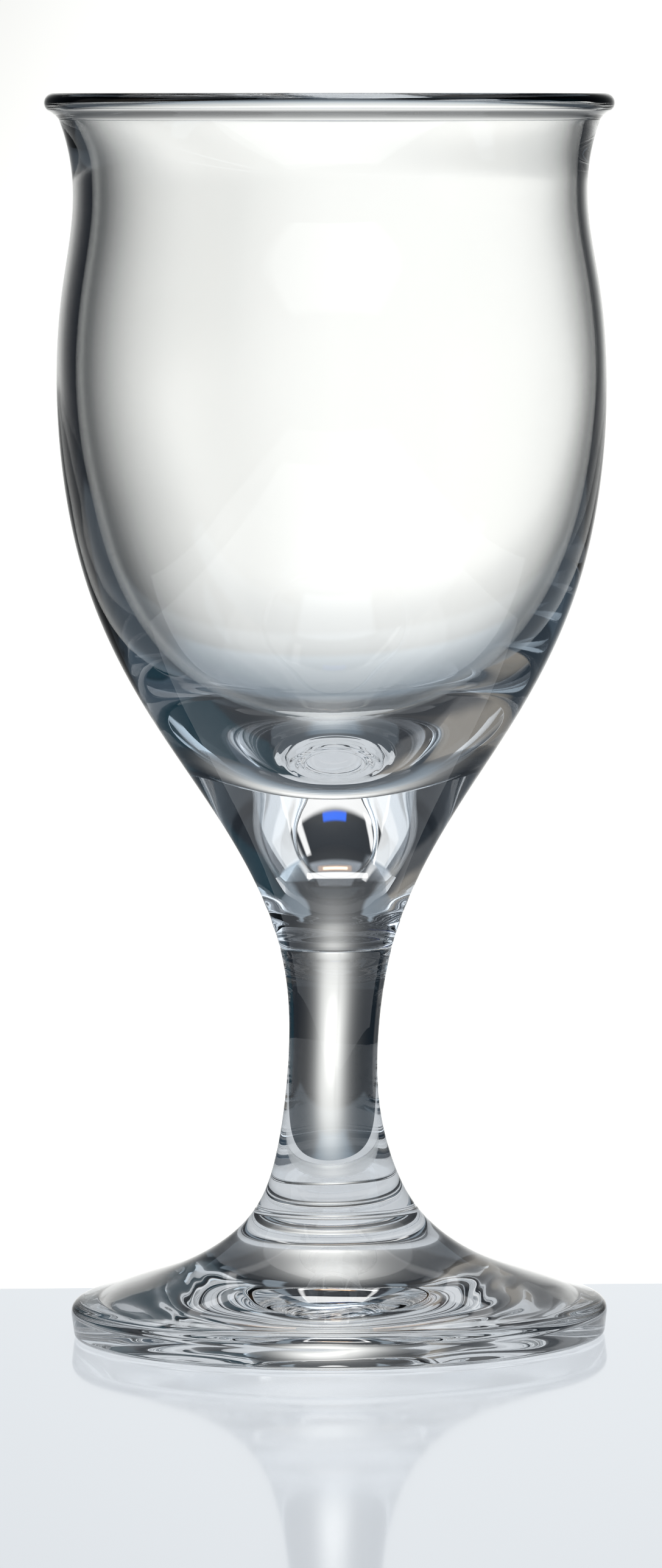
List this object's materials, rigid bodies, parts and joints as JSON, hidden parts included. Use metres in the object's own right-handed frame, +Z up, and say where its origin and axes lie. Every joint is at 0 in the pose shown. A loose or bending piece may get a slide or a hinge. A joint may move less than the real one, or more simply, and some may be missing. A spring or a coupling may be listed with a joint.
{
  "type": "stemmed beer glass",
  "caption": "Clear stemmed beer glass: a tall bowl with a beaded rim and a solid tapered bottom, on a short waisted stem and a thick spreading foot.",
  "frame": {"origin": "centre of the ring that the foot rests on", "axes": "+Z up along the axis of the glass, from the foot to the rim"},
  "size_m": [0.0844, 0.0844, 0.185],
  "materials": {
    "clear_glass": "fire-polished, clear"
  },
  "bodies": {
    "root": {"bowl": "clear_glass", "stem": "clear_glass", "foot": "clear_glass"}
  },
  "joints": []
}
